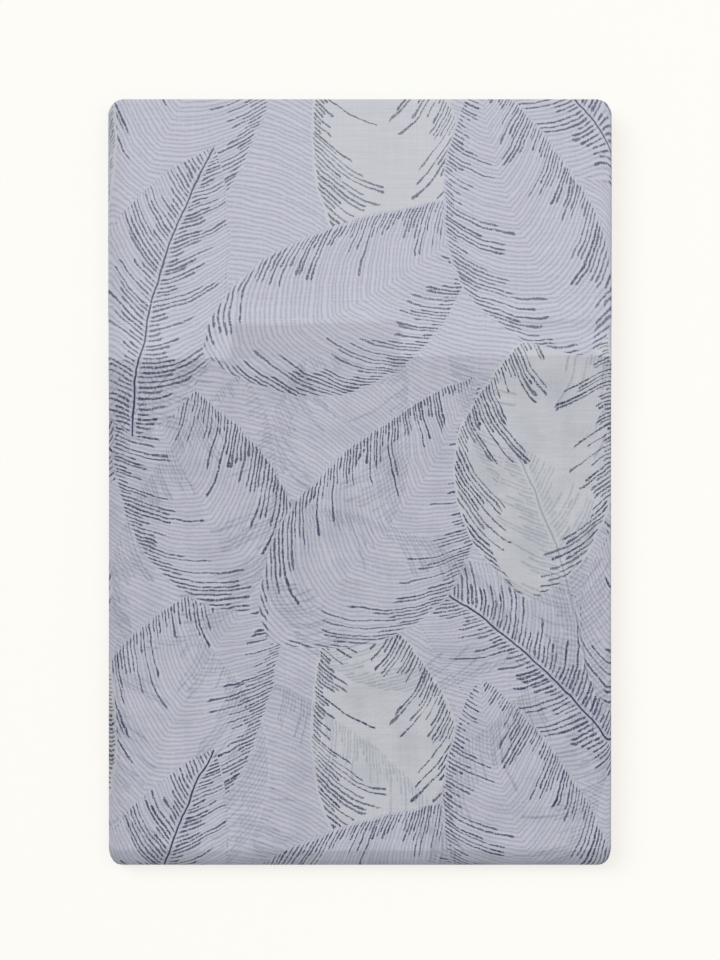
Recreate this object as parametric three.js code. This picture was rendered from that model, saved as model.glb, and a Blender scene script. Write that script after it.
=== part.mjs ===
import * as THREE from "three";

// A long door curtain of semi-sheer cotton voile, folded flat. It is folded in four across its
// width, then in half and in thirds along its length, so it lies in six levels of four plies.
// Millimetres, +Z up. The origin is the middle of the underside, and +Y points to the heading.

// the finished cloth
const clothWidth = 1200;
const clothLength = 2748;
const pliesAcross = 4;
const levelCount = 6;

// the folded stack
const packWidth = clothWidth / pliesAcross;
const packLength = clothLength / levelCount;
const cornerRadius = 9;
const levelThickness = 2.2;
const levelGap = 0.5;
const pitch = levelThickness + levelGap;

// the heading is turned under and the bottom hem turned up, and both lie at the +Y end
const headingDepth = 133;
const headingExtra = 1.2;
const hemDepth = 155;
const hemExtra = 1.2;
const stepWidth = 0.6;
const easeLength = 26;
const easeMarks = [1, 0.7, 0.3, 0];

// How the stack swells between its edges, as a share of the height, with a soft unevenness on
// top of it. Turns are half waves of the unevenness each way.
const crownShare = 0.06;
const uneven = { share: 0.012, turnsAcross: 3, turnsAlong: 4, phase: 1 };

// how finely the section is drawn
const runSteps = 7;
const bendSteps = 6;
const noseSteps = 3;
const sideEdgeShare = 0.35;

// The cloth from its heading to its bottom hem. A run lies on a level, counted from the top,
// and goes towards the heading end (+1) or away from it (-1). Narrower is taken off each side.
const runs = [
  { level: 1, towards: -1, narrower: 0 },
  { level: 4, towards: 1, narrower: 1.3 },
  { level: 5, towards: -1, narrower: 0.5 },
  { level: 6, towards: 1, narrower: 0.9 },
  { level: 3, towards: -1, narrower: 0.4 },
  { level: 2, towards: 1, narrower: 1.1 },
];

// The fold after each run but the last. Nest is the radius of the widest fold that shares its
// centre, in pitches. Short is how far it stops from the edge, and skew adds to that across X.
const folds = [
  { nest: 1.5, short: 0, skew: 0 },
  { nest: 1.5, short: 2.0, skew: -0.6 },
  { nest: 0.5, short: 1.5, skew: -1.2 },
  { nest: 1.5, short: 0.9, skew: 0.8 },
  { nest: 1.5, short: 1.2, skew: 0.8 },
];

const headingEdge = { short: 0, skew: 0 };
const hemEdge = { short: 2.4, skew: 1.0 };

// distances of the stations from a side edge, then their places across the middle
const sideStations = [0, 0.4, 1.2, 3.5, cornerRadius];
const middleStations = [-90, -30, 30, 90];

// the tabs sewn behind the heading that lie under the top ply
const tabs = [
  { name: "heading_tab_left", middle: -112, width: 72 },
  { name: "heading_tab_right", middle: 57, width: 66 },
];
const tabLength = 20;
const tabThickness = 1.0;
const tabGap = 0.35;
const tabStations = 5;

const panelFinish = { color: 0xb4b7c6, roughness: 0.85, metalness: 0 };
const tabFinish = { color: 0xd3d5dd, roughness: 0.85, metalness: 0 };

const halfWidth = packWidth / 2;
const halfLength = packLength / 2;
const headingLine = halfLength - headingDepth;
const hemLine = halfLength - hemDepth;

const { lerp, smoothstep } = THREE.MathUtils;

function levelHeight(level) {
  return levelThickness / 2 + (levelCount - level) * pitch;
}

// The stack is a little fuller in its middle. The underside stays flat.
function swell(x, y) {
  const across = (Math.PI * x) / packWidth;
  const along = (Math.PI * y) / packLength;
  const crown = Math.cos(across) * Math.cos(along);
  const wave = Math.sin(uneven.turnsAcross * across + uneven.phase) * Math.sin(uneven.turnsAlong * along);
  return 1 + crown * (crownShare + uneven.share * wave);
}

// The corners are rounded in plan, so a station near a side stops short of both ends.
function cornerInset(x) {
  const past = Math.abs(x) - (halfWidth - cornerRadius);
  if (past <= 0) {
    return 0;
  }
  return cornerRadius - Math.sqrt(cornerRadius ** 2 - Math.min(past, cornerRadius) ** 2);
}

// Each level is rounded off towards the side edges.
function edgeShare(x) {
  const fromSide = Math.min(halfWidth - Math.abs(x), levelThickness / 2);
  const round = Math.sqrt(1 - (1 - fromSide / (levelThickness / 2)) ** 2);
  return Math.max(sideEdgeShare, round);
}

function stopShort(edge, x) {
  return edge.short + (edge.skew * x) / packWidth + cornerInset(x);
}

function foldCentre(index, x) {
  const fold = folds[index];
  const reach = fold.nest * pitch + levelThickness / 2;
  return runs[index].towards * (halfLength - reach - stopShort(fold, x));
}

// How far a level is lifted by the turned hems beneath it, and how thick it is each way.
function levelShape(level, y) {
  const half = levelThickness / 2;
  const shape = { lift: 0, above: half, below: half };
  if (level === 1) {
    shape.lift = (hemExtra + headingExtra) * smoothstep(y, hemLine - easeLength, hemLine);
    shape.below += y > headingLine ? headingExtra : 0;
  }
  if (level === 2) {
    shape.above += y > hemLine ? hemExtra : 0;
  }
  return shape;
}

// Places along a run where a turned hem begins, with one just before and one just after.
function hemMarks(level) {
  if (level === 1) {
    const easing = easeMarks.map((share) => hemLine - easeLength * share);
    return [headingLine - stepWidth / 2, headingLine + stepWidth / 2, ...easing];
  }
  if (level === 2) {
    return [hemLine - stepWidth / 2, hemLine + stepWidth / 2];
  }
  return [];
}

// A stop is a point on the cloth's middle line, with its direction and its half thicknesses.
function runStops(run, start, end) {
  const even = Array.from({ length: runSteps + 1 }, (_, i) => lerp(start, end, i / runSteps));
  const places = [...even, ...hemMarks(run.level)].sort((a, b) => (a - b) * run.towards);
  return places.map((y) => {
    const shape = levelShape(run.level, y);
    const faceUp = run.towards < 0;
    return {
      y,
      z: levelHeight(run.level) + shape.lift,
      direction: [run.towards, 0],
      face: faceUp ? shape.above : shape.below,
      back: faceUp ? shape.below : shape.above,
      narrower: run.narrower,
    };
  });
}

// A half turn from one run to the next, without its two ends, which the runs hold.
function foldStops(index, centre) {
  const from = runs[index];
  const to = runs[index + 1];
  const top = levelHeight(from.level);
  const bottom = levelHeight(to.level);
  const radius = (top - bottom) / 2;
  const stops = [];
  for (let i = 1; i < bendSteps; i += 1) {
    const turn = (Math.PI * i) / bendSteps;
    const direction = [from.towards * Math.cos(turn), -Math.sign(radius) * Math.sin(turn)];
    stops.push({
      y: centre + from.towards * Math.abs(radius) * Math.sin(turn),
      z: (top + bottom) / 2 + radius * Math.cos(turn),
      direction,
      face: levelThickness / 2,
      back: levelThickness / 2,
      narrower: lerp(from.narrower, to.narrower, i / bendSteps),
    });
  }
  return stops;
}

// The whole middle line at one place across the width.
function clothLine(x) {
  const last = runs.length - 1;
  return runs.flatMap((run, i) => {
    const start = i === 0 ? freeEdge(headingEdge, run.level, x) : foldCentre(i - 1, x);
    const end = i === last ? freeEdge(hemEdge, run.level, x) : foldCentre(i, x);
    const fold = i === last ? [] : foldStops(i, end);
    return [...runStops(run, start, end), ...fold];
  });
}

// Where a free edge starts to round off.
function freeEdge(edge, level, x) {
  const shape = levelShape(level, halfLength);
  return halfLength - stopShort(edge, x) - (shape.above + shape.below) / 2;
}

// The face is on the right of the direction of travel, and the back on its left.
function offsetPoint(stop, distance) {
  const [dy, dz] = stop.direction;
  return { y: stop.y + dz * distance, z: stop.z - dy * distance, narrower: stop.narrower };
}

// A rounded free edge at the heading end, from one side of the cloth to the other.
function nose(stop, fromSide, toSide) {
  const from = offsetPoint(stop, fromSide);
  const to = offsetPoint(stop, toSide);
  const radius = (from.z - to.z) / 2;
  return Array.from({ length: noseSteps }, (_, i) => {
    const turn = (Math.PI * (i + 1)) / (noseSteps + 1);
    return {
      y: stop.y + Math.abs(radius) * Math.sin(turn),
      z: to.z + radius * (1 + Math.cos(turn)),
      narrower: stop.narrower,
    };
  });
}

function panelSection(x) {
  const share = edgeShare(x);
  const line = clothLine(x).map((stop) => {
    return { ...stop, face: stop.face * share, back: stop.back * share };
  });
  const first = line[0];
  const last = line[line.length - 1];
  return [
    ...nose(first, -first.back, first.face),
    ...line.map((stop) => offsetPoint(stop, stop.face)),
    ...nose(last, last.face, -last.back),
    ...line.map((stop) => offsetPoint(stop, -stop.back)).reverse(),
  ].map((point) => placed(x, point));
}

function placed(x, point) {
  const across = x * (1 - point.narrower / halfWidth);
  return new THREE.Vector3(across, point.y, point.z * swell(x, point.y));
}

// A flattened loop of cloth: its sewn end is square and its free end is round.
function tabSection(x) {
  const low = levelHeight(2) + levelThickness / 2 + hemExtra + tabGap;
  const sewn = headingLine - stepWidth / 2 - tabGap;
  const radius = tabThickness / 2;
  const round = { y: sewn - tabLength + radius, z: low + radius };
  const outline = [
    { y: sewn, z: low },
    { y: sewn, z: low + tabThickness },
  ];
  for (let i = 0; i <= bendSteps; i += 1) {
    const turn = (Math.PI * i) / bendSteps;
    outline.push({ y: round.y - radius * Math.sin(turn), z: round.z + radius * Math.cos(turn) });
  }
  return outline.map((point) => placed(x, { ...point, narrower: 0 }));
}

// A closed skin over sections that follow one another along +X. Each runs anticlockwise.
function loft(sections) {
  const ring = sections[0].length;
  const farEnd = (sections.length - 1) * ring;
  const faces = [];
  for (let start = 0; start < farEnd; start += ring) {
    for (let i = 0; i < ring; i += 1) {
      const a = start + i;
      const b = start + ((i + 1) % ring);
      faces.push(a, b, b + ring, a, b + ring, a + ring);
    }
  }
  capTriangles(sections[0]).forEach(([a, b, c]) => faces.push(a, c, b));
  capTriangles(sections[sections.length - 1]).forEach(([a, b, c]) => {
    faces.push(farEnd + a, farEnd + b, farEnd + c);
  });
  const positions = sections.flat().flatMap((point) => point.toArray());
  const geometry = new THREE.BufferGeometry();
  geometry.setAttribute("position", new THREE.Float32BufferAttribute(positions, 3));
  geometry.setIndex(faces);
  geometry.computeVertexNormals();
  return geometry;
}

function capTriangles(section) {
  const outline = section.map((point) => new THREE.Vector2(point.y, point.z));
  return THREE.ShapeUtils.triangulateShape(outline, []);
}

function makeMesh(name, geometry, finish) {
  const mesh = new THREE.Mesh(geometry, new THREE.MeshStandardMaterial(finish));
  mesh.name = name;
  return mesh;
}

function makePanel() {
  const fromSides = sideStations.map((inset) => halfWidth - inset);
  const stations = [...fromSides.map((x) => -x), ...middleStations, ...fromSides.reverse()];
  return makeMesh("folded_panel", loft(stations.map(panelSection)), panelFinish);
}

function makeTab(tab) {
  const stations = Array.from({ length: tabStations }, (_, i) => {
    return tab.middle + tab.width * (i / (tabStations - 1) - 0.5);
  });
  return makeMesh(tab.name, loft(stations.map(tabSection)), tabFinish);
}

const doorCurtain = new THREE.Group();
doorCurtain.name = "door_curtain";
doorCurtain.add(makePanel());
tabs.forEach((tab) => doorCurtain.add(makeTab(tab)));

export default doorCurtain;
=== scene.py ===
import math

import bpy
import numpy as np
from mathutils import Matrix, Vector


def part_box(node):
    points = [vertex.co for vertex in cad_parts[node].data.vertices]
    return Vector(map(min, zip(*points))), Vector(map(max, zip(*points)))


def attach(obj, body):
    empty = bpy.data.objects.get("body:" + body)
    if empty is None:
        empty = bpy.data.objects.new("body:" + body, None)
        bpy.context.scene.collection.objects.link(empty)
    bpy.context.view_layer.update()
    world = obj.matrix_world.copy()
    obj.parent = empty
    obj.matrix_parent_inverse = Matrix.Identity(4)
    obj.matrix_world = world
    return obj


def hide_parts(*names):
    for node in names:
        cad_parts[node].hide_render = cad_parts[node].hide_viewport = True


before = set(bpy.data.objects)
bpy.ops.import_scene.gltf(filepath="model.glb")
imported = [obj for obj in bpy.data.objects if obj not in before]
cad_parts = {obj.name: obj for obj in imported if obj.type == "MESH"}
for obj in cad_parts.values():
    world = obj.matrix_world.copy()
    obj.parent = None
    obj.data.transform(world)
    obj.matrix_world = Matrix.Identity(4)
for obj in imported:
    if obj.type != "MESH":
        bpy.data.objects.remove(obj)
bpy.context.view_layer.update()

# A long door curtain of printed voile, folded flat: in four across its width, then in half and
# in thirds along its length. Everything is in metres, with the heading towards +Y.

mm = 0.001
lowCorner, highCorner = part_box("folded_panel")
halfWidth = (highCorner.x - lowCorner.x) / 2
halfLength = (highCorner.y - lowCorner.y) / 2
stackHeight = highCorner.z


def fromScreen(red, green, blue):
    # a colour as it looks on screen, 0 to 255, turned into what a shader wants
    shares = [c / 255 for c in (red, green, blue)]
    return tuple(((c + 0.055) / 1.055) ** 2.4 for c in shares) + (1.0,)


# shorthands for building node trees

def addNode(tree, kind, inputs=(), **settings):
    # a shader node goes by its short name, and any other by its whole one
    node = tree.nodes.new(kind if "Node" in kind else "ShaderNode" + kind)
    for name, value in settings.items():
        setattr(node, name, value)
    places = inputs.items() if isinstance(inputs, dict) else enumerate(inputs)
    for place, value in places:
        if isinstance(value, bpy.types.NodeSocket):
            tree.links.new(value, node.inputs[place])
        else:
            node.inputs[place].default_value = value
    return node


def calc(tree, operation, *values, clamp=False):
    return addNode(tree, "Math", values, operation=operation, use_clamp=clamp).outputs[0]


def times(tree, value, factor, plus=None, clamp=False):
    if plus is None:
        return calc(tree, "MULTIPLY", value, factor, clamp=clamp)
    return calc(tree, "MULTIPLY_ADD", value, factor, plus, clamp=clamp)


def minus(tree, value, other):
    return calc(tree, "SUBTRACT", value, other)


def vectorCalc(tree, operation, *values):
    node = addNode(tree, "VectorMath", values, operation=operation)
    return node.outputs["Value" if operation == "DOT_PRODUCT" else "Vector"]


def combine(tree, *values):
    return addNode(tree, "CombineXYZ", values).outputs[0]


def separate(tree, vector):
    return addNode(tree, "SeparateXYZ", [vector]).outputs


def mixValue(tree, share, low, high):
    return addNode(tree, "Mix", {0: share, 2: low, 3: high}, data_type="FLOAT").outputs[0]


def mixVector(tree, share, low, high):
    return addNode(tree, "Mix", {0: share, 4: low, 5: high}, data_type="VECTOR").outputs[1]


def mixColour(tree, share, low, high, how="MIX"):
    sockets = {0: share, 6: low, 7: high}
    return addNode(tree, "Mix", sockets, data_type="RGBA", blend_type=how).outputs[2]


def flatNoise(tree, place, scale, fineness, **settings):
    inputs = {"Vector": place, "Scale": scale, "Detail": fineness, **settings}
    return addNode(tree, "TexNoise", inputs, noise_dimensions="2D").outputs


def spreadOver(tree, share, low, high):
    # low at 0 and high at 1, and on beyond them
    return times(tree, share, high - low, low)


def softStep(tree, value, edge, softness):
    # 0 below the edge and 1 above it, over the softness
    over = minus(tree, value, edge)
    over = times(tree, softness, 0.5, over)
    return calc(tree, "DIVIDE", over, softness, clamp=True)


def newPaint(name, roughness, specular, sheen):
    # a material, its tree and its shader
    paint = bpy.data.materials.new(name)
    paint.use_nodes = True
    shader = paint.node_tree.nodes["Principled BSDF"]
    shader.inputs["Roughness"].default_value = roughness
    shader.inputs["Specular IOR Level"].default_value = specular
    shader.inputs["Sheen Weight"].default_value = sheen
    return paint, paint.node_tree, shader


def addPiece(name, data):
    piece = bpy.data.objects.new(name, data)
    bpy.context.collection.objects.link(piece)
    return piece


# camera, light and floor

studio = {
    "lens": 120,
    "sensor": 36,
    "stackShare": 0.797,                    # of the view's height that the stack fills
    "aimShare": 0.6,                        # of the stack's height, where that holds
    "lookAt": (0.0 * mm, 1.95 * mm),
    "paper": fromScreen(254, 253, 248),
    "skyLight": 0.365,
    "keyLight": 1.52,
    "keyDirection": (0.62, -0.50, -0.80),   # the way the key light travels
    "keySoftness": 40,                      # degrees across
    "softbox": 11.3,
    "softboxPlace": (0.28, 0.25, 1.8),
    "softboxSize": 1.8,
    "floorSize": 30.0,
    "paperGlow": 0.74,
    "paperTint": (0.86, 1.02, 1.02),        # of what the paper gives back, so its shadow is warm
}


def makeCamera():
    camera = addPiece("camera", bpy.data.cameras.new("camera"))
    camera.data.lens = studio["lens"]
    camera.data.sensor_width = studio["sensor"]
    viewHeight = 2 * halfLength / studio["stackShare"]
    distance = viewHeight * studio["lens"] / studio["sensor"]
    camera.location = (*studio["lookAt"], stackHeight * studio["aimShare"] + distance)
    camera.data.clip_end = 2 * studio["floorSize"]
    bpy.context.scene.camera = camera


def seenDirectly(tree):
    # 1 for what the camera sees, straight or in a reflection
    path = addNode(tree, "LightPath").outputs
    seen = calc(tree, "MAXIMUM", path["Is Camera Ray"], path["Is Glossy Ray"])
    return calc(tree, "MAXIMUM", seen, path["Is Transmission Ray"])


def addLight(name, kind, energy, direction):
    light = addPiece(name, bpy.data.lights.new(name, kind))
    light.data.energy = energy
    way = np.array(direction) / np.linalg.norm(direction)
    light.rotation_euler = (math.acos(-way[2]), 0, math.atan2(-way[0], way[1]))
    return light


def makeLights():
    key = addLight("key light", "SUN", studio["keyLight"], studio["keyDirection"])
    key.data.angle = math.radians(studio["keySoftness"])
    downwards = [-c for c in studio["softboxPlace"]]
    overhead = addLight("softbox", "AREA", studio["softbox"], downwards)
    overhead.data.shape = "DISK"
    overhead.data.size = studio["softboxSize"]
    overhead.location = studio["softboxPlace"]

    world = bpy.data.worlds.new("studio")
    bpy.context.scene.world = world
    world.use_nodes = True
    tree = world.node_tree
    tree.nodes.clear()
    lamp = addNode(tree, "Background", [(1, 1, 1, 1), studio["skyLight"]]).outputs[0]
    paper = addNode(tree, "Background", [studio["paper"], 1.0]).outputs[0]
    seen = addNode(tree, "MixShader", [seenDirectly(tree), lamp, paper]).outputs[0]
    addNode(tree, "OutputWorld", [seen])
    bpy.context.scene.view_settings.view_transform = "Standard"


def makeFloor():
    half = studio["floorSize"] / 2
    corners = [(-half, -half, 0), (half, -half, 0), (half, half, 0), (-half, half, 0)]
    mesh = bpy.data.meshes.new("floor")
    mesh.from_pydata(corners, [], [(0, 1, 2, 3)])
    floor = addPiece("floor", mesh)
    paint, tree, shader = newPaint("paper", 1.0, 0.0, 0.0)
    lit = [min(c * tint, 1.0) for c, tint in zip(studio["paper"], studio["paperTint"])]
    shader.inputs["Base Color"].default_value = (*lit, 1.0)
    # the paper glows a little, so that only a faint shadow shows on it
    glowing = studio["paperGlow"]
    rest = [(c - (1 - glowing) * own) / glowing for c, own in zip(studio["paper"], lit)]
    glow = addNode(tree, "Emission", [(*rest, 1.0), 1.0]).outputs[0]
    share = times(tree, seenDirectly(tree), glowing)
    mixed = addNode(tree, "MixShader", [share, shader.outputs[0], glow]).outputs[0]
    tree.links.new(mixed, tree.nodes["Material Output"].inputs["Surface"])
    mesh.materials.append(paint)


makeCamera()
makeLights()
makeFloor()
print("camera, light and floor ready")


# how the curtain is folded

cloth = {
    "width": 1.2,                  # between its side hems' outer edges
    "plies": 4,
    "levels": 6,
    "levelThickness": 2.2 * mm,    # four plies pressed together
    "levelGap": 0.5 * mm,
    "headingCorners": 9 * mm,      # how round the corners are at the heading end
    "foldedCorners": 6.5 * mm,     # and at the folded end
    "headingDepth": 133 * mm,      # how far the heading is turned under
    "hemDepth": 155 * mm,
    "turnedExtra": 1.2 * mm,       # what a turned heading or hem adds to its level
    "turnedEase": 4 * mm,          # how far from its edge that is full
    "turnedLeast": 0.75,           # the least share of it that the turned ply itself has
    "easeLength": 26 * mm,         # over which the levels above settle past it
    "crown": 0.06,
    "unevenness": 0.012,
    "thickness": 0.26 * mm,
    "sideHemThickness": 0.44 * mm,
    "sideHemWidth": 12 * mm,
    "freeEdges": (1.4 * mm, 2.4 * mm),   # how far the two side hems stop inside the fold
}
pitch = cloth["levelThickness"] + cloth["levelGap"]
plyPitch = cloth["levelThickness"] / cloth["plies"]
headingLine = halfLength - cloth["headingDepth"]
hemLine = halfLength - cloth["hemDepth"]
# heights of the plies from the middle of a level, in ply pitches, above it and below it
outerPly, innerPly = 1.5, 0.5

# each run of cloth from heading to hem: its level from the top, the end it goes to, how much
# narrower it lies at each side and how far its sides waver, both in mm
runs = [
    {"level": 1, "towards": -1, "narrower": 0.0, "waver": 0.12},
    {"level": 4, "towards": 1, "narrower": 1.3, "waver": 0.8},
    {"level": 5, "towards": -1, "narrower": 0.5, "waver": 0.7},
    {"level": 6, "towards": 1, "narrower": 0.9, "waver": 0.6},
    {"level": 3, "towards": -1, "narrower": 0.4, "waver": 0.7},
    {"level": 2, "towards": 1, "narrower": 1.1, "waver": 0.8},
]
# the fold after each run: its middle radius in pitches, how far it stops short of the stack's
# end, and how much more it does so at the right than at the left, both in mm
folds = [
    {"nest": 1.5, "short": 0.0, "skew": 0.0},
    {"nest": 1.5, "short": 2.0, "skew": -0.6},
    {"nest": 0.5, "short": 1.5, "skew": -1.2},
    {"nest": 1.5, "short": 0.9, "skew": 0.8},
    {"nest": 1.5, "short": 1.2, "skew": 0.8},
]
headingEdge = {"short": 0.0, "skew": 0.0}
hemEdge = {"short": 2.4, "skew": 1.0}
# how the sides waver along the cloth: length in mm, how much each level is out of step, share
sideWaves = [
    {"length": 41, "turn": 2.1, "share": 0.25},
    {"length": 17, "turn": 1.3, "share": 0.15},
    {"length": 6.5, "turn": 1.0, "share": 0.12},
]

# how finely the mesh follows it
detail = {
    "topColumns": 58,
    "otherColumns": 23,
    "topRows": 92,
    "otherRows": 16,
    "turnedRows": 14,
    "wideBend": 11,
    "tightBend": 7,
    "edgeTurn": 6,
    "columnCrowding": 0.75,      # how much columns and rows crowd towards both ends
    "rowCrowding": 0.6,
    "turnedCrowding": 0.4,
    "hemLines": (4, 1.6),        # extra rows on each side of a line, and how many mm apart
    "headingLines": (3, 2.0),
    "ridgeLines": (2, 0.9),
    "hemEdgeLines": 3 * mm,
    "bakeShare": 0.62,           # of the bake map, for the cloth on view
    "bakeMargin": 0.004,
}


def eased(value, start, end):
    share = np.clip((value - start) / (end - start), 0, 1)
    return share * share * (3 - 2 * share)


def bell(value, middle, width):
    return np.exp(-(((value - middle) / width) ** 2))


def levelHeight(level):
    return cloth["levelThickness"] / 2 + (cloth["levels"] - level) * pitch


def swell(x, y):
    # the stack is a little fuller in its middle, while its underside stays flat
    across = math.pi * x / (2 * halfWidth)
    along = math.pi * y / (2 * halfLength)
    wave = np.sin(3 * across + 1) * np.sin(4 * along)
    return 1 + np.cos(across) * np.cos(along) * (cloth["crown"] + cloth["unevenness"] * wave)


def cornerInset(x, radius):
    past = np.clip(np.abs(x) - (halfWidth - radius), 0, radius)
    return radius - np.sqrt(radius ** 2 - past ** 2)


def stopShort(edge, x, end=1):
    radius = cloth["headingCorners"] if end > 0 else cloth["foldedCorners"]
    return (edge["short"] + edge["skew"] * x / (2 * halfWidth)) * mm + cornerInset(x, radius)


def foldCentre(index, x):
    reach = folds[index]["nest"] * pitch + cloth["levelThickness"] / 2
    end = runs[index]["towards"]
    return end * (halfLength - reach - stopShort(folds[index], x, end))


def crowdedSteps(count, crowding):
    # shares from 0 to 1 that crowd towards both ends
    even = np.linspace(0, 1, count + 1)
    return (1 - crowding) * even + crowding * (0.5 - 0.5 * np.cos(math.pi * even))


def widthFold():
    # one entry for each column of the cloth, from the free edge at the left of the bottom ply:
    # its x, its height in ply pitches from the middle of the level, and the way to its back
    right = halfWidth - outerPly * plyPitch
    left = -right - plyPitch
    firstEdge, lastEdge = (-halfWidth + inset for inset in cloth["freeEdges"])
    columns = []

    def ply(start, end, height, count):
        facing = float(np.sign(end - start))
        for share in crowdedSteps(count, detail["columnCrowding"]):
            columns.append((start + (end - start) * share, height, 0.0, facing))

    def bend(x, middle, radius, side, rising, count):
        # rising: 1 where the cloth goes on to a higher ply; its back is inside a wide bend
        # and outside a tight one
        inwards = -side * rising
        for turn in np.linspace(0, math.pi, count + 1)[1:-1]:
            outX, outHeight = side * math.sin(turn), -rising * math.cos(turn)
            columns.append((x + radius * plyPitch * outX, middle + radius * outHeight,
                            inwards * outX, inwards * outHeight))

    ply(firstEdge, right, -outerPly, detail["otherColumns"])
    bend(right, 0.0, outerPly, 1, 1, detail["wideBend"])
    ply(right, left, outerPly, detail["topColumns"])
    bend(left, 1.0, innerPly, -1, -1, detail["tightBend"])
    ply(left, right, innerPly, detail["otherColumns"])
    bend(right, 0.0, innerPly, 1, -1, detail["tightBend"])
    ply(right, lastEdge, -innerPly, detail["otherColumns"])
    return np.array(columns)


def linesAround(middle, spread):
    count, apart = spread
    return middle + np.arange(-count, count + 1) * apart * mm


def runSteps(run):
    # where the rows of one run lie, as shares of it, closer together at its pressed lines
    onTop = run["level"] == 1
    steps = crowdedSteps(detail["topRows" if onTop else "otherRows"], detail["rowCrowding"])
    lines = []
    if onTop:
        lines = np.concatenate([linesAround(hemLine, detail["hemLines"]),
                                linesAround(headingLine, detail["headingLines"]),
                                linesAround(ridge["y"] * mm, detail["ridgeLines"])])
    if run["level"] == 2:
        lines = hemLine + np.array([-1, 1]) * detail["hemEdgeLines"]
    fromStart = halfLength + run["towards"] * np.array(lines)
    return np.unique(np.concatenate([steps, fromStart / (2 * halfLength)]))


def lengthRows():
    # one entry for each row, from the end of the turned heading to the end of the turned hem
    last = len(runs) - 1
    turned = crowdedSteps(detail["turnedRows"], detail["turnedCrowding"])[1:]
    halfTurn = np.linspace(0, math.pi, detail["edgeTurn"])
    rows = [{"kind": "under", "run": 0, "share": s} for s in turned[::-1]]
    rows += [{"kind": "turn", "run": 0, "angle": a} for a in halfTurn[::-1]]
    for index, run in enumerate(runs):
        steps = runSteps(run)[1 if index == 0 else 0:-1 if index == last else None]
        rows += [{"kind": "run", "run": index, "share": s} for s in steps]
        if index < last:
            count = detail["wideBend" if folds[index]["nest"] > 1 else "tightBend"]
            angles = np.linspace(0, math.pi, count + 1)[1:-1]
            rows += [{"kind": "bend", "run": index, "angle": a} for a in angles]
    rows += [{"kind": "turn", "run": last, "angle": a} for a in halfTurn]
    rows += [{"kind": "under", "run": last, "share": s} for s in turned]
    return rows


def levelShape(level, y):
    # how far a level is lifted by what it lies over, and how much of it is turned cloth
    lift, turned = 0 * y, 0 * y
    near = cloth["turnedEase"]
    if level == 1:
        lift = 2 * cloth["turnedExtra"] * eased(y, hemLine - cloth["easeLength"], hemLine)
        turned = eased(y, headingLine - near, headingLine + near)
    if level == 2:
        turned = eased(y, hemLine - near, hemLine + near)
    return lift, turned


def placeBend(row, x):
    # a row on one of the long folds, given as placeRow gives it
    run, nextRun = runs[row["run"]], runs[row["run"] + 1]
    half = cloth["levelThickness"] / 2
    none = 0 * x
    top, bottom = levelHeight(run["level"]), levelHeight(nextRun["level"])
    radius, side = (top - bottom) / 2, run["towards"]
    cosine, sine = math.cos(row["angle"]), math.sin(row["angle"])
    y = foldCentre(row["run"], x) + side * abs(radius) * sine
    z = (top + bottom) / 2 + radius * cosine + none
    return y, z, -np.sign(radius) * sine + none, -side * cosine + none, half, half + none, none


def placeRow(row, x):
    # for every column: y and z of the level's middle, which way its face looks, how thick it is
    # on its face and its back, and how far the cloth is moved towards its own back
    if row["kind"] == "bend":
        return placeBend(row, x)
    run = runs[row["run"]]
    half = cloth["levelThickness"] / 2
    none = 0 * x
    first, last = row["run"] == 0, row["run"] == len(runs) - 1
    turnRadius = (cloth["levelThickness"] + cloth["turnedExtra"]) / cloth["plies"] / 4
    headingEnd = halfLength - stopShort(headingEdge, x) - turnRadius
    hemEnd = halfLength - stopShort(hemEdge, x) - turnRadius
    edge = headingEnd if first else hemEnd
    if row["kind"] == "run":
        start = headingEnd if first else foldCentre(row["run"] - 1, x)
        end = hemEnd if last else foldCentre(row["run"], x)
        y = start + (end - start) * row["share"]
        back = -turnRadius
    elif row["kind"] == "turn":
        y = edge + turnRadius * math.sin(row["angle"])
        back = -turnRadius * math.cos(row["angle"])
    else:
        y = edge + ((headingLine if first else hemLine) - edge) * row["share"]
        back = turnRadius
    lift, turned = levelShape(run["level"], y)
    if row["kind"] == "under":
        turned = np.maximum(turned, cloth["turnedLeast"])
    z = levelHeight(run["level"]) + lift
    backing = half + cloth["turnedExtra"] * turned
    return y, z, none, -run["towards"] + none, half, backing, back * turned


# what pressing and handling leave in the cloth, in mm; the creases run down it

pressing = {
    "hollowHeight": 0.05,
    "hollowLengths": (26, 95),
    "hollowCount": 16,
    "hollowSeed": 7,
    "stepHeight": 0.16,          # the edge of the fold beneath, pressed through
    "stepSoftness": 0.9,
    "stepFade": (6, 18),
    "seamDip": 0.13,
    "seamWidth": 1.8,
    "sideDroop": 0.5,
    "sideDroopWidth": 6,
    "endSlope": 0.60,            # how steeply the folded end falls away, and over what length
    "endLength": 9.5,
    "endSoftness": 0.8,
}
creases = [
    {"x": 93, "y": 141, "halfLength": 34, "width": 2.4, "height": 0.16, "lean": 0.03},
    {"x": 98, "y": -62, "halfLength": 24, "width": 2.2, "height": 0.14, "lean": -0.04},
    {"x": -46, "y": -118, "halfLength": 60, "width": 3.5, "height": 0.07, "lean": 0.05},
    {"x": 12, "y": 150, "halfLength": 52, "width": 3.0, "height": 0.07, "lean": -0.03},
]
# the edge of the cloth turned up beneath, low down
ridge = {"y": -162, "from": -130, "to": -60, "height": 0.07,
         "softEnds": 6, "softness": 1.2, "fade": (4, 16)}
# sewn and pressed lines across the top, below its upper edge, in mm
seams = [{"left": 122.4, "right": 116.4}, {"left": 133.4, "right": 128.2}]
pressedStep = {"left": 152.9, "right": 150.2}


def acrossLine(line, x):
    # y of a slightly slanting line at x
    share = (x + halfWidth) / (2 * halfWidth)
    return halfLength - (line["left"] + (line["right"] - line["left"]) * share) * mm


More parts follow.
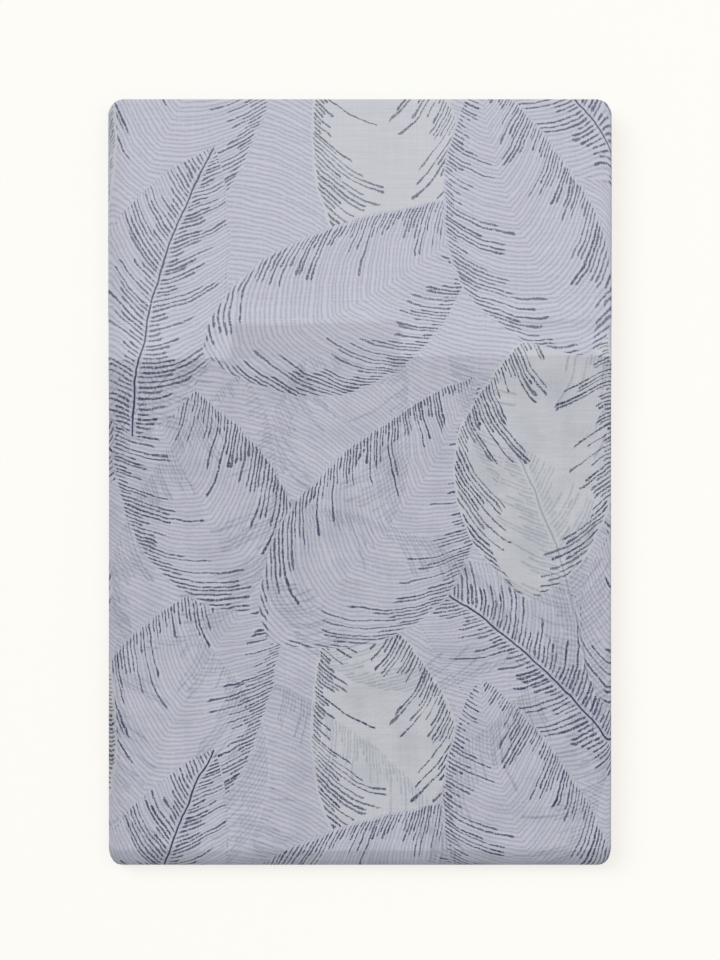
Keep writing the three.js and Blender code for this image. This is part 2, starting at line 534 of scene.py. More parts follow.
def hollows(x, y):
    rng = np.random.default_rng(pressing["hollowSeed"])
    shortest, longest = pressing["hollowLengths"]
    total = 0 * x
    for _ in range(pressing["hollowCount"]):
        angle, phase = rng.uniform(0, math.pi), rng.uniform(0, 2 * math.pi)
        length = rng.uniform(shortest, longest)
        way = 2 * math.pi / (length * mm) * (x * math.cos(angle) + y * math.sin(angle))
        total = total + (length / longest) * np.sin(way + phase)
    return pressing["hollowHeight"] * mm * total


def ridgeHeight(x, y):
    # x and y in mm
    soft, ends = ridge["softness"], ridge["softEnds"]
    along = eased(x, ridge["from"] - ends, ridge["from"] + ends)
    along = along * (1 - eased(x, ridge["to"] - ends, ridge["to"] + ends))
    over = eased(y, ridge["y"] - soft, ridge["y"] + soft)
    over = over * (1 - eased(y, ridge["y"] + ridge["fade"][0], ridge["y"] + ridge["fade"][1]))
    return ridge["height"] * mm * along * over


def pressedMarks(x, y):
    # only the top ply carries these
    above = (y - acrossLine(pressedStep, x)) / mm
    soft = pressing["stepSoftness"]
    rise = pressing["stepHeight"] * mm * eased(above, -soft, soft)
    rise = rise * (1 - eased(above, *pressing["stepFade"]))
    for seam in seams:
        across = bell(y, acrossLine(seam, x), pressing["seamWidth"] * mm)
        rise = rise - pressing["seamDip"] * mm * across
    rise = rise + ridgeHeight(x / mm, y / mm)
    for crease in creases:
        middle = (crease["x"] + crease["lean"] * (y / mm - crease["y"])) * mm
        ends = np.exp(-(((y / mm - crease["y"]) / crease["halfLength"]) ** 4))
        rise = rise + crease["height"] * mm * bell(x, middle, crease["width"] * mm) * ends
    return rise


def endFall(y):
    # how far the top falls towards the folded end
    near = pressing["endLength"] * mm - (halfLength + y)
    soft = pressing["endSoftness"] * mm
    return pressing["endSlope"] * 0.5 * (near + np.sqrt(near ** 2 + soft ** 2))


def settle(x, y, z):
    # the stack sinks towards its sides and its folded end, and is never quite flat
    share = np.clip(z / stackHeight, 0, 1)
    nearSide = 1 - eased(halfWidth - np.abs(x), 0, pressing["sideDroopWidth"] * mm)
    z = z - share * (pressing["sideDroop"] * mm * nearSide + endFall(y))
    return z + hollows(x, y) * share ** 2


def sideWander(level, y):
    total = 0.5 + 0 * y
    for wave in sideWaves:
        step = y / (wave["length"] * mm) + wave["turn"] * level
        total = total + wave["share"] * np.sin(step)
    return total


def foldCloth():
    columns, rows = widthFold(), lengthRows()
    baseX, ply, backX, backPly = columns.T
    topPlyOnly = eased(ply, outerPly - 0.3, outerPly)
    places = np.empty((len(rows), len(columns), 3))
    for index, row in enumerate(rows):
        y, z, faceY, faceZ, face, backing, shift = placeRow(row, baseX)
        run = runs[row["run"]]
        narrower, waver = run["narrower"], run["waver"]
        if row["kind"] == "bend":
            nextRun, share = runs[row["run"] + 1], row["angle"] / math.pi
            narrower += (nextRun["narrower"] - narrower) * share
            waver += (nextRun["waver"] - waver) * share
        inset = (narrower + waver * sideWander(run["level"], y)) * mm
        spacing = (face + backing) / cloth["plies"]
        offset = (face - backing) / 2 + ply * spacing + backPly * shift
        x = baseX * (1 - inset / halfWidth) + backX * shift
        y = y + faceY * offset
        z = (z + faceZ * offset) * swell(x, y)
        z = settle(x, y, z)
        if row["kind"] == "run" and row["run"] == 0:
            z = z + pressedMarks(x, y) * topPlyOnly
        places[index] = np.stack([x, y, z], 1)
    return columns, rows, places


columns, rows, places = foldCloth()
print("cloth folded:", places.shape[0], "rows by", places.shape[1], "columns")


def rowsOf(kind, run):
    return [i for i, row in enumerate(rows) if row["kind"] == kind and row["run"] == run]


def runningTotal(points):
    # how far along a line of points each of them lies
    steps = np.linalg.norm(np.diff(points, axis=0), axis=1)
    return np.concatenate([[0], np.cumsum(steps)])


def clothLengths():
    # how far each column lies across the cloth and each row along it, measured on the top ply
    offTop = columns[:, 1] != outerPly
    middleColumn = int(np.argmin(np.abs(columns[:, 0]) + 10 * offTop))
    middleRow = next(i for i in rowsOf("run", 0) if rows[i]["share"] > 0.5)
    across = runningTotal(places[middleRow])
    along = runningTotal(places[:, middleColumn])
    return across + (cloth["width"] - across[-1]) / 2, along - along[rowsOf("run", 0)[0]]


across, along = clothLengths()
firstFold = float(np.mean(along[rowsOf("bend", 0)]))    # how far along the cloth it comes


def gridMesh(name, places):
    rowCount, columnCount = places.shape[:2]
    corner = np.arange(rowCount * columnCount).reshape(rowCount, columnCount)
    quads = [corner[:-1, :-1], corner[:-1, 1:], corner[1:, 1:], corner[1:, :-1]]
    quads = np.stack(quads, -1).reshape(-1, 4)
    mesh = bpy.data.meshes.new(name)
    mesh.from_pydata(places.reshape(-1, 3).tolist(), [], quads.tolist())
    mesh.shade_smooth()
    return mesh, quads


def addMap(mesh, name, quads, across, along):
    spread = np.stack(np.meshgrid(across, along), -1).reshape(-1, 2)
    layer = mesh.uv_layers.new(name=name)
    layer.uv.foreach_set("vector", spread[quads.reshape(-1)].astype(np.float32).ravel())


def thicken(piece, thickness):
    modifier = piece.modifiers.new("thickness", "SOLIDIFY")
    modifier.thickness = thickness
    modifier.offset = 0
    return modifier


def bakeShares(lengths, first, last):
    # 0 to 1 along the cloth, with most of it for the part between two entries, which is on view
    steps, onView = np.diff(lengths), np.zeros(len(lengths) - 1, bool)
    onView[first:last] = True
    steps[onView] *= detail["bakeShare"] / steps[onView].sum()
    steps[~onView] *= (1 - detail["bakeShare"]) / steps[~onView].sum()
    margin = detail["bakeMargin"]
    return margin + (1 - 2 * margin) * np.concatenate([[0], np.cumsum(steps)])


def makePanel():
    mesh, quads = gridMesh("curtain panel", places)
    addMap(mesh, "cloth", quads, across, along)
    # a second map for baking: the top ply and the top run get most of it
    top = np.flatnonzero(columns[:, 1] == outerPly)
    run = rowsOf("run", 0)
    columnShares = bakeShares(across, top[0] - detail["wideBend"], top[-1] + detail["tightBend"])
    rowShares = bakeShares(along, run[0] - detail["edgeTurn"], run[-1] + detail["wideBend"])
    addMap(mesh, "OFBake", quads, columnShares, rowShares)
    piece = addPiece("curtain_panel", mesh)

    # the side hems are thicker than the cloth between them
    fromEdge = np.minimum(across - across[0], across[-1] - across)
    hemShare = 1 - eased(fromEdge, cloth["sideHemWidth"] * 0.9, cloth["sideHemWidth"])
    plain = cloth["thickness"] / cloth["sideHemThickness"]
    group = piece.vertex_groups.new(name="side hem")
    for column, share in enumerate(hemShare):
        numbers = [row * len(columns) + column for row in range(len(rows))]
        group.add(numbers, plain + (1 - plain) * float(share), "REPLACE")
    thicken(piece, cloth["sideHemThickness"]).vertex_group = group.name
    return piece


panel = makePanel()
print("panel made:", len(panel.data.polygons), "faces")


# the leaf print, in mm

leafPrint = {
    "repeat": (300.0, 360.0),     # each column half a repeat lower than the last
    "faceMiddle": (450, 229),     # where it is centred on the face, and on the face beneath it
    "backMiddle": (-750, 226),
    "fullness": 0.78,             # lower for blunter leaves
    "taper": 0.26,                # how much wider a leaf is at its base than at its tip
    "veinSpacing": 2.85,
    "veinLean": 0.42,
    "leanGrowth": 0.42,           # how much more the veins lean at the tip than in the middle
    "veinBow": 0.009,
    "shortStroke": 6.5,
    "longStroke": 40.0,
    "strokeBias": 1.35,           # higher for more short strokes among the long ones
    "strokeSwing": 0.32,          # how much their length swings from vein to vein
    "swingStep": 0.42,
    "leafStep": 2.3,
    "endShortening": 1.8,         # how much shorter they get towards both ends of a leaf
    "thinStroke": 0.44,
    "thickStroke": 0.26,          # what is added at a stroke's ends
    "strokeScale": 0.8,
    "strokeShift": 0.3,           # how far a stroke may lie off its vein
    "widthRange": (0.75, 1.25),   # from stroke to stroke
    "handRange": (0.2, 1.8),      # along a stroke
    "startRange": (0.5, 1.9),
    "endSharpness": 1.2,
    "fineLine": 0.42,
    "fineSoftness": 0.6,
    "ribGap": 0.55,
    "ribClearance": 4.0,
    "ribSharpness": 12.0,
    "edgeMargin": 1.2,
    "edgeSharpness": 50.0,
    "groundWave": 27.0,
    "groundRise": 9.0,
    "groundLean": 0.45,
    "wobble": 4.4,
    "wobbleLength": 26.0,
    "grain": 1.0,                 # how much the weave breaks the strokes up
    "evenGrain": 0.54,            # the grain that leaves a stroke as it is
    "yarnWidth": 0.8,
    "yarnLength": 3.5,
    "dryness": 3.4,               # and how much less ink some yarns took
    "paleStroke": 0.76,           # the faintest stroke, where the darkest is 1
}
# from the lowest leaf to the one on top; it points in degrees, and curve is that of its rib
leafColumns = ("x", "y", "points", "length", "halfWidth", "curve", "fromRib", "lined")
leafRows = [
    (-100, -130, 62, 205, 50, 14, False, True),
    (8, -150, 100, 185, 44, -10, False, False),
    (95, -105, 138, 190, 46, -12, True, True),
    (-95, 0, 122, 185, 46, 10, False, True),
    (12, -18, 52, 200, 52, -14, False, True),
    (112, 25, 78, 185, 48, 12, False, False),
    (-118, 118, 74, 180, 43, 10, True, True),
    (-5, 118, 28, 195, 48, -16, False, True),
    (98, 160, 112, 180, 45, 12, False, True),
]
leaves = [dict(zip(leafColumns, row)) for row in leafRows]


def strokeDepth(tree, leaf, out, fromEdge, square):
    # how far in from where its leaf's strokes start a point lies
    if leaf["fromRib"]:
        fromRib = minus(tree, out, leafPrint["ribGap"])
        sharp = leafPrint["edgeSharpness"]
        nearEdge = times(tree, fromEdge, sharp, -sharp * leafPrint["edgeMargin"])
        return calc(tree, "MINIMUM", fromRib, nearEdge)
    # strokes get shorter towards both ends of the leaf, and stop before its rib
    ends = times(tree, square, square)
    ends = times(tree, ends, leafPrint["endShortening"], 1.0)
    depth = times(tree, fromEdge, ends)
    nearRib = minus(tree, leafPrint["ribClearance"], out)
    nearRib = calc(tree, "MAXIMUM", nearRib, 0.0)
    return times(tree, nearRib, leafPrint["ribSharpness"], depth)


def leafField(tree, skewed, shear, leaf, index):
    # where a point lies on one leaf: along its veins, in from where its strokes start, and the
    # leaf's number, below 0 where it isn't lined; then 1 inside the leaf
    wide, high = leafPrint["repeat"]
    centre = (leaf["x"], leaf["y"] - shear * leaf["x"], 0)
    away = vectorCalc(tree, "SUBTRACT", skewed, centre)
    away = vectorCalc(tree, "WRAP", away, (wide / 2, high / 2, 1), (-wide / 2, -high / 2, -1))
    turn = math.radians(leaf["points"])
    cosine, sine = math.cos(turn), math.sin(turn)
    half = leaf["length"] / 2
    alongRib = ((cosine + shear * sine) / half, sine / half, 0)
    along = vectorCalc(tree, "DOT_PRODUCT", away, alongRib)
    side = vectorCalc(tree, "DOT_PRODUCT", away, (-sine + shear * cosine, cosine, 0))
    square = times(tree, along, along)
    side = times(tree, square, leaf["curve"], side)
    side = minus(tree, side, leaf["curve"] / 2)
    body = calc(tree, "POWER", minus(tree, 1.0, square), leafPrint["fullness"])
    taper = -leafPrint["taper"] * leaf["halfWidth"]
    taper = times(tree, along, taper, leaf["halfWidth"])
    out = calc(tree, "ABSOLUTE", side)
    fromEdge = times(tree, body, taper, times(tree, out, -1.0))
    lean = times(tree, along, -leafPrint["leanGrowth"], -leafPrint["veinLean"])
    lean = times(tree, out, -leafPrint["veinBow"], lean)
    vein = times(tree, out, lean, times(tree, along, half))
    depth = strokeDepth(tree, leaf, out, fromEdge, square)
    # the two halves of a leaf have numbers of their own
    sign = 1 if leaf["lined"] else -1
    farHalf = calc(tree, "GREATER_THAN", side, 0.0)
    number = times(tree, farHalf, 0.5 * sign, sign * (index + 1.0))
    return combine(tree, vein, depth, number), calc(tree, "GREATER_THAN", fromEdge, 0.0)


def topLeaf(tree, x, y):
    # the ground has slow waves of its own, and each leaf covers what is below it
    wide, high = leafPrint["repeat"]
    shear = high / 2 / wide
    skewed = combine(tree, x, times(tree, x, -shear, y), 0.0)
    wave = calc(tree, "SINE", times(tree, x, 1 / leafPrint["groundWave"]))
    ground = times(tree, x, leafPrint["groundLean"], y)
    ground = times(tree, wave, leafPrint["groundRise"], ground)
    strokeless = -20.0
    field = combine(tree, ground, strokeless, 0.0)
    for index, leaf in enumerate(leaves):
        own, inside = leafField(tree, skewed, shear, leaf, index)
        field = mixVector(tree, inside, field, own)
    return separate(tree, field)


def yarnGrain(tree, place):
    across, along = 1 / leafPrint["yarnWidth"], 1 / leafPrint["yarnLength"]
    yarns = []
    for stretch in ((along, across, 0), (across, along, 0)):
        stretched = vectorCalc(tree, "MULTIPLY", place, stretch)
        yarns.append(flatNoise(tree, stretched, 1.0, 1.0)["Fac"])
    return times(tree, calc(tree, "ADD", *yarns), 0.5)


def makeLeafPrint():
    tree = bpy.data.node_groups.new("leaf print", "ShaderNodeTree")
    tree.interface.new_socket("Place", in_out="INPUT", socket_type="NodeSocketVector")
    tree.interface.new_socket("Softness", in_out="INPUT", socket_type="NodeSocketFloat")
    for name in ("Ink", "Fine", "Lined"):
        tree.interface.new_socket(name, in_out="OUTPUT", socket_type="NodeSocketFloat")
    given = tree.nodes.new("NodeGroupInput").outputs
    result = tree.nodes.new("NodeGroupOutput").inputs
    place, softness = given["Place"], given["Softness"]

    # a slow wobble makes the lines look hand drawn
    noise = flatNoise(tree, place, 1 / leafPrint["wobbleLength"], 3.0, Roughness=0.55)["Color"]
    shift = vectorCalc(tree, "SUBTRACT", noise, (0.5, 0.5, 0.5))
    moved = vectorCalc(tree, "MULTIPLY_ADD", shift, (leafPrint["wobble"],) * 3, place)
    x, y, _ = separate(tree, moved)
    unevenness = separate(tree, noise)[2]
    vein, depth, number = topLeaf(tree, x, y)

    step = calc(tree, "DIVIDE", vein, leafPrint["veinSpacing"])
    own = combine(tree, calc(tree, "FLOOR", step), number, 0.0)
    chance = addNode(tree, "TexWhiteNoise", {"Vector": own}).outputs["Color"]
    lengthChance, placeChance, widthChance = separate(tree, chance)
    across = minus(tree, calc(tree, "FRACT", step), 0.5)
    shift = minus(tree, placeChance, 0.5)
    across = times(tree, shift, leafPrint["strokeShift"], across)
    scale = leafPrint["veinSpacing"] * leafPrint["strokeScale"]
    across = times(tree, calc(tree, "ABSOLUTE", across), scale)

    # strokes of uneven length and thickness, heavier at both ends
    swing = times(tree, number, leafPrint["leafStep"])
    swing = calc(tree, "SINE", times(tree, step, leafPrint["swingStep"], swing))
    longest, swinging = leafPrint["longStroke"], leafPrint["strokeSwing"]
    most = times(tree, swing, swinging * longest, (1 - swinging) * longest)
    reach = calc(tree, "POWER", lengthChance, leafPrint["strokeBias"])
    reach = times(tree, reach, most, leafPrint["shortStroke"])
    middle = times(tree, calc(tree, "DIVIDE", depth, reach), 2.0, -1.0)
    bulge = times(tree, middle, middle)
    thickness = times(tree, bulge, leafPrint["thickStroke"], leafPrint["thinStroke"])
    for share, limits in ((widthChance, "widthRange"), (unevenness, "handRange")):
        thickness = times(tree, thickness, spreadOver(tree, share, *leafPrint[limits]))
    grain = yarnGrain(tree, place)
    uneven = minus(tree, grain, leafPrint["evenGrain"])
    thickness = times(tree, uneven, leafPrint["grain"], thickness)
    start = spreadOver(tree, widthChance, *leafPrint["startRange"])
    fromStart = minus(tree, depth, start)
    fromEnd = minus(tree, reach, depth)
    fromEnd = times(tree, fromEnd, leafPrint["endSharpness"])
    rounding = calc(tree, "SQRT", calc(tree, "MINIMUM", fromStart, fromEnd, clamp=True))
    soft = times(tree, softness, -1.0)
    thickness = times(tree, calc(tree, "ADD", thickness, softness), rounding, soft)
    ink = softStep(tree, thickness, across, softness)
    ink = times(tree, ink, mixValue(tree, placeChance, leafPrint["paleStroke"], 1.0))
    # yarns that took less ink
    dryness = leafPrint["dryness"]
    taken = times(tree, grain, dryness, 1 - 0.5 * dryness, clamp=True)
    ink = times(tree, ink, taken)
    beside = calc(tree, "GREATER_THAN", depth, -leafPrint["ribGap"])
    rib = times(tree, beside, calc(tree, "LESS_THAN", depth, 0.0))
    tree.links.new(calc(tree, "MAXIMUM", ink, rib), result["Ink"])

    lined = calc(tree, "GREATER_THAN", number, -0.5)
    soft = calc(tree, "ADD", softness, leafPrint["fineSoftness"])
    fine = softStep(tree, leafPrint["fineLine"], across, soft)
    fine = times(tree, fine, taken)
    tree.links.new(times(tree, fine, lined), result["Fine"])
    tree.links.new(lined, result["Lined"])
    return tree


# the voile itself

voile = {
    "plainColour": fromScreen(199, 201, 207.5),
    "linedColour": fromScreen(198, 199, 211),
    "fineColour": fromScreen(154, 158, 174),
    "inkColour": fromScreen(62, 68, 95),
    "inkStrength": (0.82, 1.0),   # on the doubled heading and below it
    "fineStrength": 0.72,
    "faceSoftness": 0.3,          # of the print's edges in mm, on the face and seen through it
    "backSoftness": 1.3,
    "roughness": 0.86,
    "specular": 0.2,
    "sheen": 0.12,
    "sheenRoughness": 0.5,
    "ghost": 0.32,                # how strongly the ply beneath shows through
    "ghostFine": 0.25,            # how much of its fine lines
    "deepGhost": 0.10,            # and the plies further down, as soft clouds
    "deepScale": 44.0,
    "deepContrast": 3.2,
    "deepStart": -1.35,
    "singleShade": 0.945,         # where one ply lies over the fold
    "singleSoftness": 1.0 * mm,
    "sewnShade": 1.03,            # below the upper sewn row, where more layers lie together
    "sewnSoftness": 2.5 * mm,
    "threadPitch": 0.45 * mm,
    "weaveShare": 0.14,           # of the bump, beside the slub
    "bumpStrength": 0.4,
    "bumpHeight": 0.25 * mm,
}
# uneven yarns along the weft, fainter ones along the warp, and slow clouds
slub = {
    "weft": {"stretch": (34, 760, 0), "fineness": 2.0, "depth": 0.16},
    "warp": {"stretch": (820, 22, 0), "fineness": 1.0, "depth": 0.08},
    "clouds": {"stretch": (26, 26, 0), "fineness": 2.0, "depth": 0.06},
}
# painted shade along the folded end, where the top ply rounds over and stands off the layers beneath
foldEndShade = {"shade": 0.89, "reach": 12.4 * mm, "softness": 1.4 * mm}
# painted shade between the two tabs under the heading, where nothing backs the sheer cloth, from side
# to side
tabGapShade = {"from": 427 * mm, "to": 528 * mm, "shade": (0.92, 0.85), "softness": 2 * mm}
# painted shade below the lower sewn row beyond the tabs, where only the edge of the turned heading
# presses through
turnedEdgeShade = {"across": 362 * mm, "shade": 0.89, "reach": 9 * mm}
# where the cloth was pressed into four, and painted shade in from each fold: how dark it is at the
# fold and how far in it reaches
foldSideShades = [
    {"across": 299.5 * mm, "shade": 0.93, "reach": 4.5 * mm},
    {"across": 600.5 * mm, "shade": 0.87, "reach": 12 * mm},
]


def slantedDepth(tree, across, line):
    # how far below the heading edge a slanting line lies
    slope = (line["left"] - line["right"]) * mm / (2 * halfWidth)
    leftFold = cloth["width"] / 2
    return times(tree, across, slope, line["left"] * mm - slope * leftFold)


def usePrint(tree, group, spread, middle, side, softness):
    # side is 1 for the print on the face and -1 for the one seen from its back
    toPrint = (-side / mm, -1 / mm, 0)
    place = vectorCalc(tree, "MULTIPLY_ADD", spread, toPrint, (*middle, 0))
    node = addNode(tree, "Group", node_tree=group)
    tree.links.new(place, node.inputs["Place"])
    node.inputs["Softness"].default_value = softness
    return node.outputs["Ink"], node.outputs["Fine"], node.outputs["Lined"]


def printedColour(tree, spread, single):
    # the print on the face, over what shows through from beneath
    group = makeLeafPrint()
    middle, softness = leafPrint["faceMiddle"], voile["faceSoftness"]
    ink, fine, lined = usePrint(tree, group, spread, middle, 1, softness)
    middle, softness = leafPrint["backMiddle"], voile["backSoftness"]
    under, underFine, _ = usePrint(tree, group, spread, middle, -1, softness)
    colour = mixColour(tree, lined, voile["plainColour"], voile["linedColour"])
    fine = times(tree, fine, voile["fineStrength"])
    colour = mixColour(tree, fine, colour, voile["fineColour"])
    shown = times(tree, underFine, voile["ghostFine"], under)
    shown = times(tree, shown, voile["ghost"])
    deep = flatNoise(tree, spread, voile["deepScale"], 2.0)["Fac"]
    deep = times(tree, deep, voile["deepContrast"], voile["deepStart"], clamp=True)
    shown = times(tree, deep, voile["deepGhost"], shown)
    shown = times(tree, shown, single)
    colour = mixColour(tree, shown, colour, voile["inkColour"])
    strength = mixValue(tree, single, *voile["inkStrength"])
    return mixColour(tree, times(tree, ink, strength), colour, voile["inkColour"])


def paintedShade(tree, across, along, single):
    # painted light and shade: the doubled heading and the tabs beneath keep the cloth light, a single
    # ply over the fold and the gap between the tabs are painted darker, and painted shade lies along
    # the folds
    lower = slantedDepth(tree, across, seams[1])
    sewn = softStep(tree, along, slantedDepth(tree, across, seams[0]), voile["sewnSoftness"])
    below = softStep(tree, along, lower, voile["sewnSoftness"])
    shade = mixValue(tree, sewn, 1.0, voile["sewnShade"])

    # painted shade between the tabs
    share = minus(tree, across, tabGapShade["from"])
    share = calc(tree, "DIVIDE", share, tabGapShade["to"] - tabGapShade["from"])
    gapShade = mixValue(tree, share, *tabGapShade["shade"])
    starts = softStep(tree, across, tabGapShade["from"], tabGapShade["softness"])
    ends = softStep(tree, across, tabGapShade["to"], tabGapShade["softness"])
    between = times(tree, starts, minus(tree, 1.0, ends))
    shade = mixValue(tree, times(tree, between, below), shade, gapShade)

    # painted shade below the lower sewn row, beyond the tabs
    fade = minus(tree, along, lower)
    fade = calc(tree, "DIVIDE", fade, turnedEdgeShade["reach"], clamp=True)
    fade = times(tree, minus(tree, 1.0, fade), below)
    beyond = calc(tree, "LESS_THAN", across, turnedEdgeShade["across"])
    fade = mixValue(tree, times(tree, fade, beyond), 1.0, turnedEdgeShade["shade"])
    shade = times(tree, shade, fade)
    shade = mixValue(tree, single, shade, voile["singleShade"])

    # painted shade along the folded end
    away = calc(tree, "ABSOLUTE", minus(tree, along, firstFold))
    clear = softStep(tree, away, foldEndShade["reach"], foldEndShade["softness"])
    shade = times(tree, shade, mixValue(tree, clear, foldEndShade["shade"], 1.0))
    # painted shade in from the side folds, where the cloth curves down
    for line in foldSideShades:
        away = calc(tree, "ABSOLUTE", minus(tree, across, line["across"]))
        away = calc(tree, "DIVIDE", away, line["reach"], clamp=True)
        shade = times(tree, shade, mixValue(tree, away, line["shade"], 1.0))
    return shade


def makeVoile(name, printed=True):
    paint, tree, shader = newPaint(name, voile["roughness"], voile["specular"], voile["sheen"])
    shader.inputs["Sheen Roughness"].default_value = voile["sheenRoughness"]
    spread = addNode(tree, "UVMap", uv_map="cloth").outputs[0]
    across, along, _ = separate(tree, spread)
    colour, shade = voile["plainColour"], 1.0
    if printed:
        step = slantedDepth(tree, across, pressedStep)
        single = softStep(tree, along, step, voile["singleSoftness"])
        colour = printedColour(tree, spread, single)
        shade = paintedShade(tree, across, along, single)

    yarns = {}
    for kind, look in slub.items():
        stretched = vectorCalc(tree, "MULTIPLY", spread, look["stretch"])
        yarns[kind] = flatNoise(tree, stretched, 1.0, look["fineness"])["Fac"]
        factor = times(tree, yarns[kind], look["depth"], 1 - look["depth"] / 2)
        shade = times(tree, factor, shade)
    shaded = mixColour(tree, 1.0, colour, combine(tree, shade, shade, shade), "MULTIPLY")
    tree.links.new(shaded, shader.inputs["Base Color"])

    # a plain weave, with the slub raised
    threads = vectorCalc(tree, "MULTIPLY", spread, (2 * math.pi / voile["threadPitch"],) * 3)
    overAcross, overAlong, _ = separate(tree, threads)
    woven = times(tree, calc(tree, "SINE", overAcross), calc(tree, "SINE", overAlong))
    height = times(tree, woven, voile["weaveShare"], yarns["weft"])
    bump = addNode(tree, "Bump", {"Strength": voile["bumpStrength"],
                                  "Distance": voile["bumpHeight"], "Height": height})
    tree.links.new(bump.outputs[0], shader.inputs["Normal"])
    return paint


panel.data.materials.append(makeVoile("printed voile"))
plainVoile = makeVoile("plain voile", printed=False)
print("voile printed")


# two sewn rows across the heading

stitching = {
    "length": 2.5 * mm,
    "gap": 0.75 * mm,
    "thread": 0.36 * mm,
    "dip": 0.16 * mm,           # how far a stitch's ends go into the cloth
    "lift": 0.22,               # how far its middle stands out, in threads
    "unevenness": 0.09,
    "seed": 4,
    "endInset": 1.6 * mm,       # how far in from the side folds the rows begin
    "sides": 6,                 # around a stitch, and as many steps along it
    "colour": fromScreen(226, 228, 234),
    "grooveShade": 0.78,             # painted shade in the grooves between the thread's twisted yarns: how dark it is there
    "twist": 0.55 * mm,
    "twistLean": 35,
    "twistHeight": 0.05 * mm,
}


def makeThread():
    paint, tree, shader = newPaint("sewing thread", 0.6, 0.3, 0.2)
    place = addNode(tree, "TexCoord").outputs["Object"]
    lean = {"Vector": place, "Angle": math.radians(stitching["twistLean"])}
    turned = addNode(tree, "VectorRotate", lean, rotation_type="Z_AXIS").outputs[0]
    bandSpacing = 0.31    # how far apart a wave texture's bands lie at a scale of 1
    ply = addNode(tree, "TexWave", {"Vector": turned, "Scale": bandSpacing / stitching["twist"]})
    ply = ply.outputs["Fac"]
    # painted shade in the grooves between the yarns
    dark = tuple(c * stitching["grooveShade"] for c in stitching["colour"][:3]) + (1.0,)
    tree.links.new(mixColour(tree, ply, dark, stitching["colour"]), shader.inputs["Base Color"])
    bump = {"Strength": 0.5, "Distance": stitching["twistHeight"], "Height": ply}
    tree.links.new(addNode(tree, "Bump", bump).outputs[0], shader.inputs["Normal"])
    return paint


def makeStitchTree():
    # stitches one after another along each curve it is given
    tree = bpy.data.node_groups.new("sewn row", "GeometryNodeTree")
    tree.is_modifier = True
    sockets = [("Rows", "Geometry"), ("Stitch Length", "Float"), ("Gap", "Float"), ("Thread", "Float"),
               ("Dip", "Float"), ("Unevenness", "Float"), ("Seed", "Int"), ("Material", "Material")]
    for name, kind in sockets:
        tree.interface.new_socket(name, in_out="INPUT", socket_type="NodeSocket" + kind)
    tree.interface.new_socket("Stitches", in_out="OUTPUT", socket_type="NodeSocketGeometry")
    given = tree.nodes.new("NodeGroupInput").outputs
    result = tree.nodes.new("NodeGroupOutput").inputs

    def geometry(kind, inputs=(), **settings):
        return addNode(tree, "GeometryNode" + kind, inputs, **settings).outputs[0]

    def uneven(middle, seed):
        # another number for each stitch, a little either side of the middle
        chance = addNode(tree, "FunctionNodeRandomValue", {"Seed": seed}).outputs[1]
        return times(tree, minus(tree, chance, 0.5), given["Unevenness"], middle)

    half = times(tree, given["Stitch Length"], 0.5)
    down = times(tree, given["Dip"], -1.0)
    start = combine(tree, times(tree, half, -1.0), 0.0, down)
    arch = geometry("CurveQuadraticBezier", {
        "Resolution": stitching["sides"], "Start": start,
        "Middle": combine(tree, 0.0, 0.0, given["Dip"]), "End": combine(tree, half, 0.0, down)})
    radius = times(tree, given["Thread"], 0.5)
    section = geometry("CurvePrimitiveCircle", {"Resolution": stitching["sides"], "Radius": radius})
    stitch = geometry("CurveToMesh", {"Curve": arch, "Profile Curve": section, "Fill Caps": True})
    stitch = geometry("SetShadeSmooth", {"Geometry": stitch})

    spacing = calc(tree, "ADD", given["Stitch Length"], given["Gap"])
    holes = geometry("ResampleCurve", {"Curve": given["Rows"], "Length": spacing}, mode="LENGTH")
    along = {"Vector": geometry("InputTangent")}
    facing = addNode(tree, "FunctionNodeAlignRotationToVector", along, axis="X").outputs[0]
    lean = combine(tree, 0.0, 0.0, uneven(0.0, given["Seed"]))
    turned = addNode(tree, "FunctionNodeRotateRotation", {"Rotation": facing, "Rotate By": lean},
                     rotation_space="LOCAL").outputs[0]
    stretch = uneven(1.0, calc(tree, "ADD", given["Seed"], 1.0))
    sewn = geometry("InstanceOnPoints", {"Points": holes, "Instance": stitch, "Rotation": turned,
                                         "Scale": combine(tree, stretch, 1.0, 1.0)})
    solid = geometry("RealizeInstances", {"Geometry": sewn})
    solid = geometry("SetMaterial", {"Geometry": solid, "Material": given["Material"]})
    tree.links.new(solid, result["Stitches"])
    return tree


def rowPoints(line):
    # where a sewn line crosses the columns of the top ply
    onTop = np.isclose(columns[:, 1], outerPly) & np.isclose(columns[:, 2], 0)
    surface = places[rowsOf("run", 0)][:, onTop]
    lift = cloth["thickness"] / 2 + stitching["thread"] * stitching["lift"]
    points = []
    for column in range(surface.shape[1]):
        x, y, z = surface[::-1, column].T
        atX = float(np.interp(acrossLine(line, x.mean()), y, x))
        if abs(atX) < halfWidth - stitching["endInset"]:
            atY = float(acrossLine(line, atX))
            points.append((atX, atY, float(np.interp(atY, y, z)) + lift, 1.0))
    return points


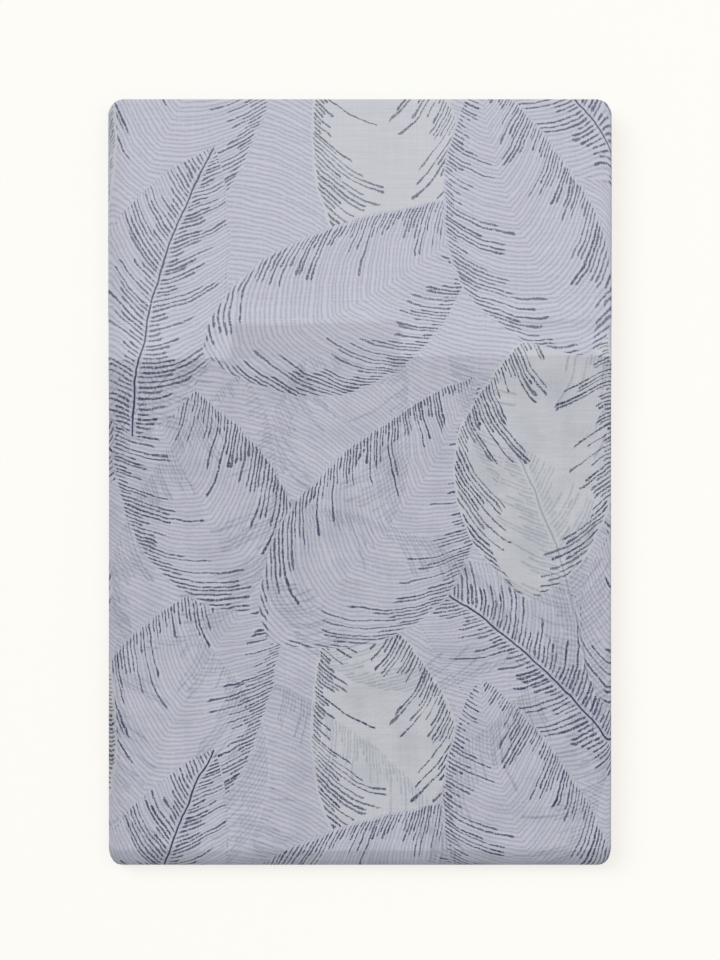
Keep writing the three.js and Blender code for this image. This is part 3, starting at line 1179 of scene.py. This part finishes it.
def sewRows(name, lines):
    curves = bpy.data.curves.new(name, "CURVE")
    curves.dimensions = "3D"
    for line in lines:
        spline = curves.splines.new("POLY")
        points = rowPoints(line)
        spline.points.add(len(points) - 1)
        for point, place in zip(spline.points, points):
            point.co = place
    path = addPiece(name + " path", curves)
    tree = makeStitchTree()
    modifier = path.modifiers.new("stitches", "NODES")
    modifier.node_group = tree
    values = {"Stitch Length": stitching["length"], "Gap": stitching["gap"],
              "Thread": stitching["thread"], "Dip": stitching["dip"],
              "Unevenness": stitching["unevenness"], "Seed": stitching["seed"],
              "Material": makeThread()}
    for socket in tree.interface.items_tree:
        if socket.in_out == "INPUT" and socket.name in values:
            modifier[socket.identifier] = values[socket.name]
    bpy.context.view_layer.update()
    evaluated = path.evaluated_get(bpy.context.evaluated_depsgraph_get())
    mesh = bpy.data.meshes.new_from_object(evaluated)
    mesh.name = name
    bpy.data.objects.remove(path)
    return addPiece(name, mesh)


stitches = sewRows("heading_stitches", seams)
print("heading sewn:", len(stitches.data.polygons), "faces")


# the two tabs sewn behind the heading, each a flattened loop in the pocket beneath it

tabs = {
    "thickness": 0.30 * mm,
    "rise": 0.2 * mm,           # half the height of the loop
    "short": 0.8 * mm,          # how far its fold stops below the turned heading's edge
    "columns": 12,
    "rows": 10,
    "endTurn": 6,
}


def makeTab(name, node):
    low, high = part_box(node)
    middle = (low + high) / 2
    wide, rise = high.x - low.x, tabs["rise"]
    fold = high.y - rise - tabs["short"]
    # around the loop in y and z, from the raw end below to the one above
    below = np.linspace(low.y, high.y, tabs["rows"])[:-1]
    above = np.linspace(fold, low.y, tabs["rows"])[1:]
    turn = np.linspace(-math.pi / 2, math.pi / 2, tabs["endTurn"])
    loop = [(y, -rise) for y in below]
    loop += [(fold + rise * math.cos(a), rise * math.sin(a)) for a in turn]
    loop += [(y, rise) for y in above]
    level = middle.z / swell(middle.x, middle.y)
    x = np.linspace(low.x, high.x, tabs["columns"] + 1)
    grid = np.empty((len(loop), len(x), 3))
    for row, (y, offset) in enumerate(loop):
        grid[row] = np.stack([x, y + 0 * x, settle(x, y, level * swell(x, y) + offset)], 1)
    around = runningTotal(np.array(loop))
    mesh, quads = gridMesh(name, grid)
    addMap(mesh, "cloth", quads, x - low.x, around)
    mesh.materials.append(plainVoile)
    tab = addPiece(name, mesh)
    thicken(tab, tabs["thickness"])
    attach(tab, "root")
    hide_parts(node)


makeTab("tab_left", "heading_tab_left")
makeTab("tab_right", "heading_tab_right")
print("tabs folded")

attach(panel, "root")
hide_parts("folded_panel")
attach(stitches, "root")
